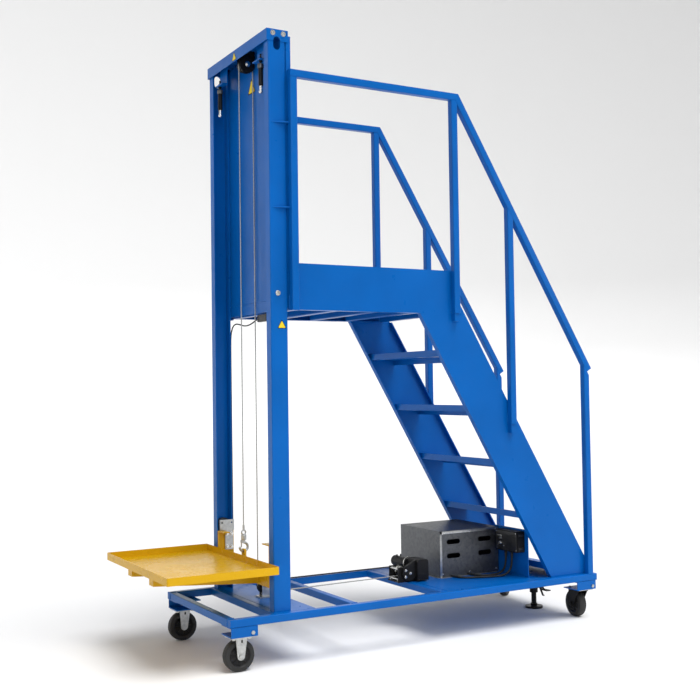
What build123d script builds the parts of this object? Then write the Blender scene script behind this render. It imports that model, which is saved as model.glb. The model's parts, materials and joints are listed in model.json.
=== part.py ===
from build123d import *
import os
from math import atan, cos, degrees, hypot, pi, radians, sin, sqrt, tan

# Mobile stair platform with a powered lift: a wheeled base, a mast whose carriage hoists a tray up to
# the height of a work platform, and a five-tread stair with handrails up to that platform.
#
# Millimetres. x runs from the mast end of the base (0) to its stair end, y across it from the near
# side (-) to the far side (+), z up from the floor. save() moves the whole model so that x = 0 is the
# middle of its length.

# ---------------------------------------------------------------- driving dimensions

# Base
BASE_LENGTH = 2265.0
HALF_WIDTH = 425.0              # the base, and the outer faces of both handrails
TUBE = 38.0                     # square tube of the base and of the handrails
TUBE_WALL = 3.0
TUBE_CORNER = 5.0
BASE_TOP = 254.0
PLATE = 5.0                     # floor plates, flush with the top of the base
CROSS_TUBES_X = (0.0, 236.0, 670.0, 1217.0, BASE_LENGTH - TUBE)
MAST_PLATE_X = (274.0, 468.0)

# Casters
WHEEL_RADIUS = 76.2             # six-inch wheels
WHEEL_WIDTH = 45.0
AXLE_RADIUS = 6.0
RUNNING_FIT = 0.06              # radial clearance of a bore on its pin
RISER_HEIGHT = 48.0
CASTER_PLATE = 6.0
FORK_GAP = 56.0
FORK_WALL = 5.0
RIGID_X = 62.0
RIGID_Y = 373.0
SWIVEL_X = 2196.0
SWIVEL_Y = 362.0
SWIVEL_TRAIL = 48.0
SWIVEL_TURN = (84.0, 38.0)      # degrees from +x that the near and far wheels trail towards

# Floor lock
LOCK_X = 2150.0
LOCK_FOOT_RADIUS = 52.0
LOCK_COLUMN_RADIUS = 24.0
LOCK_PLUNGER_RADIUS = 15.0
LOCK_PIVOT = (2188.0, 128.0)    # x, z

# Mast
COLUMN_X = (248.0, 339.0)
COLUMN_Y = (329.0, 381.0)       # flange tips and web face, on each side
COLUMN_WALL = 6.0
MAST_TOP = 3105.0
HEADER_X = (239.0, 356.0)
HEADER_LIP = 58.0
PANEL_X = 345.0
PANEL_BOTTOM = 1727.0
PANEL_SEAM = 1783.0
PANEL_TOP = 3080.0
SHEET = 3.0

# Hoist rope, sheaves and winch
ROPE_RADIUS = 3.0
SHEAVE_PITCH = 39.0
SHEAVE_AT = (298.0, 3031.0)     # x, z
LOW_PULLEY_Z = 316.0
DRUM_AT = (1222.0, 306.0)       # x, z
DRUM_PITCH = 22.0
GEAR_MODULE = 2.0
DRUM_TEETH = 36
PINION_TEETH = 26
MOTOR_RISE = 35.0               # motor axis above the drum axis
MOTOR_RADIUS = 30.0

# Carriage
CARRIAGE_Z = (362.0, 570.0)
UPRIGHT_Y = (318.0, 326.0)
ROLLER_RADIUS = 38.0
ROLLER_X = 293.5
ROLLER_Z = (405.0, 598.0)
ROLLER_Y = (332.0, 370.0)
TRAY_X = (-320.0, 241.0)
TRAY_HALF_WIDTH = 460.0
TRAY_FLOOR = 452.0              # upper face of the tray's floor
TRAY_RIM = 486.0
FORK_ARM_Y = (130.0, 190.0)
STOP_AT = (262.0, 262.0)        # x, y
STOP_TIP = 2811.0

# Platform, stair and rails
DECK_X = (371.0, 1347.0)
DECK_TOP = 1797.0
DECK_FRAME_Y = 387.0
DECK_FRAME_BOTTOM = 1721.0
TOE_TOP = 1952.0
POST_X = (346.0, 1309.0, 1674.0, 2203.0)
RAIL_TOP = 2907.0
SLOPE_START = (1353.0, 2911.0)  # upper edge of the sloping rail
SLOPE_END = (2258.0, 1427.0)
TREAD_RISE = 299.5
TREAD_COUNT = 5
TREAD_DEPTH = 174.0
STRINGER_LOW = (1963.0, 1069.0)     # x of the lower edge at the base and at the deck
STRINGER_HIGH = (1356.0, 2198.0)    # x of the upper edge at the deck, and 370 above the floor
STRINGER_END_X = 2222.0
STRINGER_WEB = 6.0
STRINGER_FLANGE = 25.0

# Equipment on the base
BATTERY_BOX = ((1434.0, 1845.0), (-61.0, 352.0), (BASE_TOP, 514.0))
PANEL_PLATE_X = (1849.0, 1855.0)
PANEL_PLATE_Y = (-324.0, 5.0)
PANEL_PLATE_TOP = 520.0

# Worked out from the above
X_CENTRE = (TRAY_X[0] + BASE_LENGTH) / 2
BASE_BOTTOM = BASE_TOP - TUBE
INNER_Y = HALF_WIDTH - TUBE
RISER_BOTTOM = BASE_BOTTOM - RISER_HEIGHT
CASTER_TOP = RISER_BOTTOM - CASTER_PLATE
LOW_PULLEY_X = SHEAVE_AT[0] + 2 * SHEAVE_PITCH
GEAR_CENTRES = GEAR_MODULE * (DRUM_TEETH + PINION_TEETH) / 2
MOTOR_AT = (DRUM_AT[0] + sqrt(GEAR_CENTRES**2 - MOTOR_RISE**2), DRUM_AT[1] + MOTOR_RISE)
SLOPE = atan((SLOPE_START[1] - SLOPE_END[1]) / (SLOPE_END[0] - SLOPE_START[0]))


# ---------------------------------------------------------------- helpers

def block(x, y, z):
    """A block between three (low, high) pairs."""
    spans = (x, y, z)
    middle = [(low + high) / 2 for low, high in spans]
    return Pos(*middle) * Box(*[high - low for low, high in spans])


def rod_x(x, y, z, radius):
    """A cylinder along x, between the pair x."""
    return Pos((x[0] + x[1]) / 2, y, z) * Rot(0, 90, 0) * Cylinder(radius, x[1] - x[0])


def rod_y(x, y, z, radius):
    """A cylinder along y, between the pair y."""
    return Pos(x, (y[0] + y[1]) / 2, z) * Rot(90, 0, 0) * Cylinder(radius, y[1] - y[0])


def rod_z(x, y, z, radius):
    """A cylinder along z, between the pair z."""
    return Pos(x, y, (z[0] + z[1]) / 2) * Cylinder(radius, z[1] - z[0])


def side_plane(x, y, z):
    """A sketch plane facing -y, whose own x and y are the model's x and z."""
    return Plane(origin=(x, y, z), x_dir=(1, 0, 0), z_dir=(0, -1, 0))


def slab(outline, y):
    """A plate between the pair y, with an outline of (x, z) points."""
    face = make_face(Polyline(*[(px, y[1], pz) for px, pz in outline], close=True))
    return extrude(face, y[1] - y[0], dir=(0, -1, 0))


def slot_y(x, z, width, height, y):
    """An upright or level obround cutter through the pair y."""
    turn = 90 if height > width else 0
    shape = SlotOverall(max(width, height), min(width, height), rotation=turn)
    return extrude(side_plane(x, y[1], z) * shape, y[1] - y[0])


def tube(start, end, width=TUBE, height=TUBE, capped=(False, False)):
    """A straight rectangular tube; width is level, and a capped end is closed by a plate."""
    start = Vector(*start)
    end = Vector(*end)
    along = end - start
    level = (1, 0, 0) if abs(along.Y) > abs(along.X) + abs(along.Z) else (0, 1, 0)
    outside = Plane(origin=start, x_dir=level, z_dir=along)
    near_cap, far_cap = [TUBE_WALL if cap else 0.0 for cap in capped]
    inside = outside.offset(near_cap)
    skin = extrude(outside * RectangleRounded(width, height, TUBE_CORNER), along.length)
    bore = RectangleRounded(width - 2 * TUBE_WALL, height - 2 * TUBE_WALL, TUBE_CORNER - TUBE_WALL)
    return skin - extrude(inside * bore, along.length - near_cap - far_cap)


def far_side(shape):
    """The same piece on the far side."""
    return mirror(shape, about=Plane.XZ)


def both_sides(*shapes):
    """Near-side pieces and their far-side twins."""
    return [*shapes, *[far_side(shape) for shape in shapes]]


def hexagon(across_flats, height):
    """A bolt head on the xy plane."""
    return extrude(RegularPolygon(across_flats / sqrt(3), 6), height)


def save(name, *shapes):
    """Writes one node, moved so that x = 0 is the middle of the model."""
    solids = []
    for shape in shapes:
        solids += (Pos(-X_CENTRE, 0, 0) * shape).solids()
    export_step(Compound(solids), f"parts/{name}.step")


# ---------------------------------------------------------------- base

def base_rail():
    """The near side rail, capped at both ends, with a drain hole below."""
    y = -HALF_WIDTH + TUBE / 2
    z = BASE_TOP - TUBE / 2
    rail = tube((0, y, z), (BASE_LENGTH, y, z), capped=(True, True))
    return rail - rod_z(160, y, (BASE_BOTTOM - 1, BASE_BOTTOM + TUBE_WALL + 1), 4)


def base_cross_tubes():
    """Five cross tubes between the side rails."""
    z = BASE_TOP - TUBE / 2
    return [tube((x + TUBE / 2, -INNER_Y, z), (x + TUBE / 2, INNER_Y, z)) for x in CROSS_TUBES_X]


def base_plates():
    """The plate that the mast stands on and the equipment deck under the stair."""
    z = (BASE_TOP - PLATE, BASE_TOP)
    across = (-INNER_Y, INNER_Y)
    deck_x = (CROSS_TUBES_X[3] + TUBE, CROSS_TUBES_X[4])
    return [block(MAST_PLATE_X, across, z), block(deck_x, across, z)]


RISER_X = ((5.0, 141.0), (2120.0, 2255.0))
RISER_DEPTH = 120.0


def caster_risers():
    """Four channel blocks between the base and the casters."""
    near = []
    for x in RISER_X:
        outer = block(x, (-HALF_WIDTH, -HALF_WIDTH + RISER_DEPTH), (RISER_BOTTOM, BASE_BOTTOM))
        hollow = block(
            (x[0] - 1, x[1] + 1),
            (-HALF_WIDTH + PLATE, -HALF_WIDTH + RISER_DEPTH + 1),
            (RISER_BOTTOM + PLATE, BASE_BOTTOM - PLATE),
        )
        near.append(outer - hollow)
    return both_sides(*near)


def caster_bolts():
    """One bolt head on the outer face of each riser, and four that hold each caster plate."""
    heads = []
    for x in (115.0, 2230.0):
        head = Pos(x, -HALF_WIDTH, RISER_BOTTOM + 18) * Rot(90, 0, 0) * hexagon(17, 6)
        heads += both_sides(head)
    for x, y, z in ((RIGID_X, RIGID_Y, CASTER_TOP - 5), (SWIVEL_X, SWIVEL_Y, RISER_BOTTOM + PLATE)):
        for dx in (-41.0, 41.0):
            for dy in (-41.0, 41.0):
                heads += both_sides(Pos(x + dx, -y + dy, z) * hexagon(15, 5))
    return heads


# ---------------------------------------------------------------- casters

def caster_wheel():
    """A wheel at the origin with its axle along y."""
    half = WHEEL_WIDTH / 2
    hub_half = FORK_GAP / 2 - 1
    web_half = half - 9
    bore = AXLE_RADIUS + RUNNING_FIT
    side = [(bore, hub_half), (20, hub_half), (20, web_half), (50, web_half), (50, half),
            (WHEEL_RADIUS, half)]
    outline = side + [(r, -y) for r, y in reversed(side)]
    face = make_face(Polyline(*outline, close=True))
    shoulders = face.vertices().filter_by(lambda v: v.X > WHEEL_RADIUS - 1)
    return revolve(fillet(shoulders, 7), Axis.Y)


def fork_leg(axle_x, top_x, top_z):
    """One flat fork leg: a straight top edge, a round end about the axle, and its axle hole."""
    boss = Pos(axle_x, WHEEL_RADIUS) * Circle(19)
    top = Line((top_x[0], top_z), (top_x[1], top_z))
    outline = make_hull([*boss.edges(), *top.edges()])
    leg = extrude(side_plane(0, FORK_WALL / 2, 0) * outline, FORK_WALL)
    return leg - rod_y(axle_x, (-FORK_WALL, FORK_WALL), WHEEL_RADIUS, AXLE_RADIUS)


def leg_offset(side):
    return side * (FORK_GAP + FORK_WALL) / 2


def rigid_fork():
    """Plate and two legs of a rigid caster, with the wheel's axle on x = 0, y = 0."""
    plate = block((-51, 51), (-51, 51), (CASTER_TOP, RISER_BOTTOM))
    legs = [Pos(0, leg_offset(side), 0) * fork_leg(0, (-26, 32), CASTER_TOP) for side in (-1, 1)]
    slots = [slot_y(5, CASTER_TOP - 16, 9, 16, (leg_offset(side) - 4, leg_offset(side) + 4))
             for side in (-1, 1)]
    fork = plate
    for leg, slot in zip(legs, slots):
        fork += leg - slot
    return fork


def axle():
    """Axle pin with a head and a nut outside the fork, along y at the origin's wheel height."""
    half = FORK_GAP / 2 + FORK_WALL
    pin = rod_y(0, (-half, half), WHEEL_RADIUS, AXLE_RADIUS)
    head = Pos(0, -half, WHEEL_RADIUS) * Rot(90, 0, 0) * hexagon(18, 7)
    nut = Pos(0, half, WHEEL_RADIUS) * Rot(-90, 0, 0) * hexagon(18, 9)
    return pin + head + nut


def rigid_casters():
    """The two forks, their axles and the two wheels, near then far."""
    places = [Pos(RIGID_X, side * RIGID_Y, 0) for side in (-1, 1)]
    forks = [place * rigid_fork() for place in places]
    axles = [place * axle() for place in places]
    wheels = [place * Pos(0, 0, WHEEL_RADIUS) * caster_wheel() for place in places]
    return forks, axles, wheels


RACE_BOTTOM = CASTER_TOP - 3.0
CROWN = (153.8, RACE_BOTTOM - 0.3)
KINGPIN_RADIUS = 8.0


def swivel_plate():
    """Top plate of a swivel caster with its race ring and kingpin hole, about the origin."""
    plate = block((-51, 51), (-51, 51), (CASTER_TOP, RISER_BOTTOM))
    ring = rod_z(0, 0, (RACE_BOTTOM, CASTER_TOP), 27)
    hole = rod_z(0, 0, (RACE_BOTTOM - 1, RISER_BOTTOM - 1.5), KINGPIN_RADIUS + RUNNING_FIT)
    return plate + ring - hole


def swivel_fork():
    """Fork that trails towards +x, with its kingpin and wheel axle."""
    crown = block((-28, SWIVEL_TRAIL + 24), (leg_offset(-1) - 2.5, leg_offset(1) + 2.5), CROWN)
    fork = crown + rod_z(0, 0, (CROWN[0], RISER_BOTTOM - 2), KINGPIN_RADIUS)
    for side in (-1, 1):
        fork += Pos(0, leg_offset(side), 0) * fork_leg(SWIVEL_TRAIL, (-22, SWIVEL_TRAIL + 24), CROWN[0])
    return fork + Pos(SWIVEL_TRAIL, 0, 0) * axle()


def swivel_casters():
    """Plates, forks and wheels, near then far."""
    places = [Pos(SWIVEL_X, side * SWIVEL_Y, 0) for side in (-1, 1)]
    turned = [place * Rot(0, 0, turn) for place, turn in zip(places, SWIVEL_TURN)]
    plates = [place * swivel_plate() for place in places]
    forks = [place * swivel_fork() for place in turned]
    wheels = [place * Pos(SWIVEL_TRAIL, 0, WHEEL_RADIUS) * caster_wheel() for place in turned]
    return plates, forks, wheels


# ---------------------------------------------------------------- floor lock

LOCK_COLUMN_BOTTOM = 92.0
LOCK_PLATE = (BASE_BOTTOM - 6, BASE_BOTTOM)


def floor_lock_body():
    """Mounting plate under the end cross tube, column with a plunger bore, and pedal ears."""
    plate = block((LOCK_X - 50, BASE_LENGTH), (-55, 55), LOCK_PLATE)
    stub = rod_z(LOCK_X, 0, (BASE_BOTTOM, BASE_TOP - PLATE), LOCK_COLUMN_RADIUS)
    column = rod_z(LOCK_X, 0, (LOCK_COLUMN_BOTTOM, BASE_BOTTOM), LOCK_COLUMN_RADIUS)
    body = plate + stub + column
    pivot_x, pivot_z = LOCK_PIVOT
    for side in (-1, 1):
        ear = block((LOCK_X, pivot_x + 9), (side * 14 - 2.5, side * 14 + 2.5), (pivot_z - 12, pivot_z + 12))
        body += ear
    body += rod_y(pivot_x, (-16.5, 16.5), pivot_z, 4)
    bore = rod_z(LOCK_X, 0, (LOCK_COLUMN_BOTTOM - 1, 196), LOCK_PLUNGER_RADIUS + RUNNING_FIT)
    return body - bore


def floor_lock_shoe():
    """Plunger with the round foot that presses on the floor."""
    foot = rod_z(LOCK_X, 0, (0, 13), LOCK_FOOT_RADIUS)
    collar = rod_z(LOCK_X, 0, (13, 26), 20)
    return foot + collar + rod_z(LOCK_X, 0, (26, 160), LOCK_PLUNGER_RADIUS)


def floor_lock_pedal():
    """Foot pedal on its pivot, with the release toe below it."""
    pivot_x, pivot_z = LOCK_PIVOT
    hub = rod_y(pivot_x, (-10, 10), pivot_z, 9)
    arm = slab([(pivot_x, pivot_z + 8), (pivot_x + 26, pivot_z - 6), (pivot_x + 44, pivot_z - 30),
                (pivot_x + 37, pivot_z - 34), (pivot_x + 20, pivot_z - 14), (pivot_x, pivot_z - 8)], (-9, 9))
    tread = block((pivot_x + 36, pivot_x + 66), (-32, 32), (pivot_z - 36, pivot_z - 30))
    toe = slab([(pivot_x + 2, pivot_z - 6), (pivot_x + 30, pivot_z - 66), (pivot_x + 40, pivot_z - 68),
                (pivot_x + 40, pivot_z - 61), (pivot_x + 34, pivot_z - 59), (pivot_x + 9, pivot_z)], (-5, 5))
    return hub + arm + tread + toe - rod_y(pivot_x, (-11, 11), pivot_z, 4 + RUNNING_FIT)


# ---------------------------------------------------------------- mast

MAST_SLOT = (295.0, 3037.0, 38.0, 66.0)     # x, z, width and height of the slot at the column heads


def mast_slot_cutter():
    x, z, width, height = MAST_SLOT
    return slot_y(x, z, width, height, (-HALF_WIDTH, -COLUMN_Y[1] + COLUMN_WALL + 1))


def mast_column():
    """The near column: a channel whose open side faces the carriage."""
    z = (BASE_TOP, MAST_TOP - SHEET)
    outer = block(COLUMN_X, (-COLUMN_Y[1], -COLUMN_Y[0]), z)
    corners = outer.edges().filter_by(Axis.Z).group_by(Axis.Y)[0]
    outer = fillet(corners, COLUMN_WALL)
    inner_x = (COLUMN_X[0] + COLUMN_WALL, COLUMN_X[1] - COLUMN_WALL)
    inner = block(inner_x, (-COLUMN_Y[1] + COLUMN_WALL, -COLUMN_Y[0] + 1), (z[0] - 1, z[1] + 1))
    return outer - inner - mast_slot_cutter()


STOP_BRACKET_Y = (-287.0, -197.0)
STOP_FOOT_Z = (2978.0, 2984.0)


def mast_header():
    """Inverted tray over both columns, and the two brackets that carry the top stops."""
    lip_z = (MAST_TOP - HEADER_LIP, MAST_TOP - SHEET)
    end = COLUMN_Y[1] + SHEET
    header = block(HEADER_X, (-end, end), (MAST_TOP - SHEET, MAST_TOP))
    header += block((HEADER_X[0], HEADER_X[0] + SHEET), (-end, end), lip_z)
    lip = block(HEADER_X, (-end, -COLUMN_Y[1]), lip_z) - mast_slot_cutter()
    header = header + lip + far_side(lip)
    hanger = block((274, 279), STOP_BRACKET_Y, (STOP_FOOT_Z[0], MAST_TOP - SHEET))
    foot = block((246, 274), STOP_BRACKET_Y, STOP_FOOT_Z)
    bracket = hanger + foot - rod_z(STOP_AT[0], -STOP_AT[1], (STOP_FOOT_Z[0] - 1, STOP_FOOT_Z[1] + 1), 5.3)
    return [header, *both_sides(bracket)]


def mast_back_panel():
    """Two sheets with side returns, on packers behind the columns."""
    edge = COLUMN_Y[1] - 1
    pieces = []
    for z in ((PANEL_BOTTOM, PANEL_SEAM - 0.5), (PANEL_SEAM + 0.5, PANEL_TOP)):
        sheet = block((PANEL_X, PANEL_X + SHEET), (-edge, edge), z)
        for side in (-1, 1):
            returned = sorted((side * edge, side * (edge - SHEET)))
            sheet += block((PANEL_X, PANEL_X + 25), returned, z)
        pieces.append(sheet)
        packer = block((COLUMN_X[1], PANEL_X), (-COLUMN_Y[1] + 8, -COLUMN_Y[0] - 4), z)
        pieces += both_sides(packer)
    return pieces


def mast_gussets():
    """Triangular tabs that tie the columns to the first handrail posts."""
    tabs = []
    for z in (2224.0, 2645.0):
        outline = [(262, -COLUMN_Y[1]), (POST_X[0], -COLUMN_Y[1]), (POST_X[0], -405)]
        face = make_face(Polyline(*[(x, y, z - 3) for x, y in outline], close=True))
        tabs.append(extrude(face, 6, dir=(0, 0, 1)))
    return both_sides(*tabs)


# ---------------------------------------------------------------- hoist

def grooved_wheel(bore):
    """A rope sheave at the origin with its axle along y."""
    half = 11.0
    groove = ROPE_RADIUS + 0.3
    rim = SHEAVE_PITCH + 4
    blank = rod_y(0, (-half, half), 0, rim) - rod_y(0, (-half - 1, half + 1), 0, bore)
    round_groove = Torus(SHEAVE_PITCH, groove)
    opening = rod_y(0, (-groove, groove), 0, rim + 1) - rod_y(0, (-groove - 1, groove + 1), 0, SHEAVE_PITCH)
    boss = rod_y(0, (-half - 1, half + 1), 0, 15)
    lightening = [rod_y(0, y, 0, 31) - boss for y in ((-half - 1, -6), (6, half + 1))]
    wheel = blank - Rot(90, 0, 0) * round_groove - opening
    for recess in lightening:
        wheel -= recess
    return wheel


def sheave_block():
    """Cheeks, yoke and axle that hang the top sheave under the header, with a plain cover plate."""
    x, z = SHEAVE_AT
    yoke = block((x - 42, x + 42), (-22, 22), (MAST_TOP - SHEET - 10, MAST_TOP - SHEET))
    body = yoke
    for side in (-1, 1):
        cheek = block((x - 40, x + 40), tuple(sorted((side * 14, side * 20))), (z - 38, MAST_TOP - SHEET))
        lower = cheek.edges().filter_by(Axis.Y).group_by(Axis.Z)[0]
        body += fillet(lower, 26)
    body += rod_y(x, (-26, 26), z, 8)
    body += block((x - 15, x + 19), (-22, -20), (3056, 3073))
    return body


def base_pulley_bracket():
    """Foot plate, two cheeks and the axle of the low pulley."""
    x = LOW_PULLEY_X
    bracket = block((x - 38, x + 38), (-34, 34), (BASE_TOP, BASE_TOP + 8))
    for side in (-1, 1):
        cheek = block((x - 24, x + 24), tuple(sorted((side * 14, side * 20))), (BASE_TOP, LOW_PULLEY_Z + 24))
        upper = cheek.edges().filter_by(Axis.Y).group_by(Axis.Z)[-1]
        bracket += fillet(upper, 23)
    return bracket + rod_y(x, (-26, 26), LOW_PULLEY_Z, 8)


HOOK_TOP = 634.0
ROPE_X = SHEAVE_AT[0] - SHEAVE_PITCH


def hoist_rope_front():
    """The strand that lifts the carriage, from the ferrule on the hook to the top sheave."""
    return rod_z(ROPE_X, 0, (HOOK_TOP, SHEAVE_AT[1]), ROPE_RADIUS)


def low_tangent():
    """Ends of the straight run that touches the low pulley and the drum from below."""
    span_x = DRUM_AT[0] - LOW_PULLEY_X
    span_z = DRUM_AT[1] - LOW_PULLEY_Z
    lean = atan(span_z / span_x)
    turn = lean + atan((SHEAVE_PITCH - DRUM_PITCH) / hypot(span_x, span_z))
    start = (LOW_PULLEY_X + SHEAVE_PITCH * sin(turn), LOW_PULLEY_Z - SHEAVE_PITCH * cos(turn))
    end = (DRUM_AT[0] + DRUM_PITCH * sin(turn), DRUM_AT[1] - DRUM_PITCH * cos(turn))
    return start, end


def hoist_rope_run():
    """Over the top sheave, down to the low pulley and along the base to the drum."""
    x, z = SHEAVE_AT
    start, end = low_tangent()
    r = SHEAVE_PITCH
    over = ThreePointArc((x - r, 0, z), (x, 0, z + r), (x + r, 0, z))
    down = Line((x + r, 0, z), (x + r, 0, LOW_PULLEY_Z))
    middle = (LOW_PULLEY_X - r * cos(pi / 4), 0, LOW_PULLEY_Z - r * sin(pi / 4))
    under = ThreePointArc((x + r, 0, LOW_PULLEY_Z), middle, (start[0], 0, start[1]))
    along = Line((start[0], 0, start[1]), (end[0], 0, end[1]))
    section = Plane(origin=(x - r, 0, z), z_dir=(0, 0, 1)) * Circle(ROPE_RADIUS)
    return sweep(section, path=Wire([over.edge(), down.edge(), under.edge(), along.edge()]))


# ---------------------------------------------------------------- top stops

def stop_bodies():
    """Hanging rod with two nuts, and the barrel that holds the sprung plunger."""
    x, y = STOP_AT
    rod = rod_z(x, -y, (STOP_TIP + 149, 3011), 5)
    for z in (STOP_FOOT_Z[0] - 8, STOP_FOOT_Z[1]):
        rod += Pos(x, -y, z) * hexagon(17, 8)
    cap = rod_z(x, -y, (STOP_TIP + 127, STOP_TIP + 149), 14)
    barrel = rod_z(x, -y, (STOP_TIP + 39, STOP_TIP + 127), 12)
    bore = rod_z(x, -y, (STOP_TIP + 38, STOP_TIP + 114), 8 + RUNNING_FIT)
    return both_sides(rod + cap + barrel - bore)


def stop_plungers():
    """Round-nosed plungers that the carriage meets at the top of its travel."""
    x, y = STOP_AT
    nose = fillet(rod_z(x, -y, (STOP_TIP, STOP_TIP + 13), 11).edges().group_by(Axis.Z)[0], 9)
    return both_sides(nose + rod_z(x, -y, (STOP_TIP + 13, STOP_TIP + 84), 8))


# ---------------------------------------------------------------- carriage

def carriage_frame():
    """Cross channel, two uprights with strike tabs, lower roller axles and the hoist lug."""
    low, high = CARRIAGE_Z
    inside = -UPRIGHT_Y[0]
    channel = block((252, 318), (inside, -inside), (low, 446))
    frame = channel - block((258, 319), (inside - 1, -inside + 1), (low + 6, 440))
    for side in (-1, 1):
        y = tuple(sorted((side * UPRIGHT_Y[0], side * UPRIGHT_Y[1])))
        upright = block((250, 340), y, (low, high))
        tab = block((250, 285), tuple(sorted((side * 240, side * UPRIGHT_Y[0]))), (high - 5, high))
        pin = rod_y(ROLLER_X, tuple(sorted((side * UPRIGHT_Y[1], side * 372))), ROLLER_Z[0], 8)
        frame += upright + tab + pin
    lug = block((256, 264), (-22, 22), (446, 514)) - rod_x((255, 265), 0, 499, 10)
    top = lug.edges().filter_by(Axis.X).group_by(Axis.Z)[-1]
    return frame + fillet(top, 14)


def roller_plates():
    """T-shaped plates inside the uprights that carry the upper rollers."""
    y = (-UPRIGHT_Y[0], -UPRIGHT_Y[0] + 8)
    high = CARRIAGE_Z[1]
    stem = block((288, 334), y, (468, high + 1))
    head = block((258, 340), y, (high + 1, 628))
    pin = rod_y(ROLLER_X, (-372, -UPRIGHT_Y[0]), ROLLER_Z[1], 8)
    holes = [rod_y(x, (y[0] - 1, y[1] + 1), 612, 5) for x in (270, 326)]
    plate = stem + head + pin
    for hole in holes:
        plate -= hole
    return both_sides(plate)


def roller():
    """A guide roller at the origin with its axle along y."""
    half = (ROLLER_Y[1] - ROLLER_Y[0]) / 2
    wheel = rod_y(0, (-half, half), 0, ROLLER_RADIUS)
    wheel = chamfer(wheel.edges().filter_by(GeomType.CIRCLE), 2)
    return wheel - rod_y(0, (-half - 1, half + 1), 0, 8 + RUNNING_FIT)


def roller_pair(z):
    y = (ROLLER_Y[0] + ROLLER_Y[1]) / 2
    return [Pos(ROLLER_X, side * y, z) * roller() for side in (-1, 1)]


def fork_arms():
    """Two tapered folded arms under the tray."""
    wall = 4.0
    tip, root = TRAY_X[0] + 28, 252.0
    top = TRAY_FLOOR - SHEET
    outer = slab([(tip, top), (root, top), (root, 366), (tip, 405)], (-FORK_ARM_Y[1], -FORK_ARM_Y[0]))
    inside_y = (-FORK_ARM_Y[1] + wall, -FORK_ARM_Y[0] - wall)
    inner = slab([(tip + wall, top - wall), (root + 1, top - wall), (root + 1, 340), (tip + wall, 340)],
                 inside_y)
    return both_sides(outer - inner)


def load_tray():
    """A pan with a low rim, corners rounded."""
    outer = block(TRAY_X, (-TRAY_HALF_WIDTH, TRAY_HALF_WIDTH), (TRAY_FLOOR - SHEET, TRAY_RIM))
    outer = fillet(outer.edges().filter_by(Axis.Z), 8)
    inner_x = (TRAY_X[0] + SHEET, TRAY_X[1] - SHEET)
    inner = block(inner_x, (-TRAY_HALF_WIDTH + SHEET, TRAY_HALF_WIDTH - SHEET), (TRAY_FLOOR, TRAY_RIM + 1))
    return outer - fillet(inner.edges().filter_by(Axis.Z), 5)


HOOK_BOWL = (259.0, 523.0)      # x, z of the bowl's centre
HOOK_BEND = 22.0
HOOK_STOCK = 6.5
LATCH_PIVOT = (247.6, 551.0)    # x, z


def hoist_hook():
    """Hook, swivel body, thimble and ferrule at the end of the lifting strand."""
    x, z = HOOK_BOWL
    stock = Plane(origin=(x, 0, z + HOOK_BEND), z_dir=(1, 0, 0)) * Circle(HOOK_STOCK)
    bowl = revolve(stock, Axis((x, 0, z), (0, 1, 0)), 262)
    tip_turn = radians(90 - 262)
    tip = Pos(x + HOOK_BEND * cos(tip_turn), 0, z + HOOK_BEND * sin(tip_turn)) * Sphere(HOOK_STOCK)
    neck = rod_z(x, 0, (z + HOOK_BEND - 2, 562), 7.5)
    ears = Part()
    for side in (-1, 1):
        ears += block((LATCH_PIVOT[0] - 4, x), tuple(sorted((side * 5.5, side * 7.5))), (545, 557))
    pin = rod_y(LATCH_PIVOT[0], (-8.5, 8.5), LATCH_PIVOT[1], 1.6)
    swivel = fillet(rod_z(x, 0, (558, 586), 14).edges(), 4)
    loop = Pos(x, 0, 597) * Rot(90, 0, 0) * Torus(11, 4)
    ferrule = rod_z(x, 0, (608, HOOK_TOP), 6)
    return bowl + tip + neck + ears + pin + swivel + loop + ferrule


def hook_latch():
    """Sheet latch that closes the mouth of the hook from inside."""
    x, z = LATCH_PIVOT
    hub = rod_y(x, (-5, 5), z, 3.6)
    flap = slab([(x - 3.4, z), (x + 1.2, z), (247.0, 521.5), (244.8, 521.5)], (-5, 5))
    return hub + flap - rod_y(x, (-6, 6), z, 1.6 + RUNNING_FIT)


# ---------------------------------------------------------------- winch

NEAR_PLATE_Y = (-54.0, -42.0)
FAR_PLATE_Y = (42.0, 48.0)
GEAR_Y = (-70.0, -56.0)
CASE_Y = (-74.0, -54.0)
GEARBOX_Y = (-95.0, 13.0)
WINCH_FOOT = BASE_TOP + 8


def winch_frame():
    """Foot plate, two side plates and two tie bars, bored for the drum shaft."""
    foot = block((1160, 1335), (-54, 58), (BASE_TOP, WINCH_FOOT))
    frame = foot
    for y in (NEAR_PLATE_Y, FAR_PLATE_Y):
        plate = block((1162, 1241), y, (WINCH_FOOT, 336))
        plate -= rod_y(DRUM_AT[0], (y[0] - 1, y[1] + 1), DRUM_AT[1], 9 + RUNNING_FIT)
        frame += plate
    for z in (270, 326):
        frame += rod_y(1171, (NEAR_PLATE_Y[1], FAR_PLATE_Y[0]), z, 5)
    return frame


def spur_gear(teeth, bore, first_tooth):
    """A straight-toothed gear at the origin along y; first_tooth is its angle from +x towards +z."""
    pitch_radius = GEAR_MODULE * teeth / 2
    slope = tan(radians(20))
    half_at_pitch = pi * GEAR_MODULE / 4 - 0.22
    tip, root = GEAR_MODULE, -1.25 * GEAR_MODULE
    points = []
    for index in range(teeth):
        middle = radians(first_tooth) + 2 * pi * index / teeth
        for side, height in ((-1, root), (-1, tip), (1, tip), (1, root)):
            radius = pitch_radius + height
            half = half_at_pitch - height * slope
            angle = middle + side * half / radius
            points.append((radius * cos(angle), radius * sin(angle)))
    face = side_plane(0, GEAR_Y[1], 0) * make_face(Polyline(*points, close=True))
    return extrude(face, GEAR_Y[1] - GEAR_Y[0]) - rod_y(0, (GEAR_Y[0] - 1, GEAR_Y[1] + 1), 0, bore)


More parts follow.
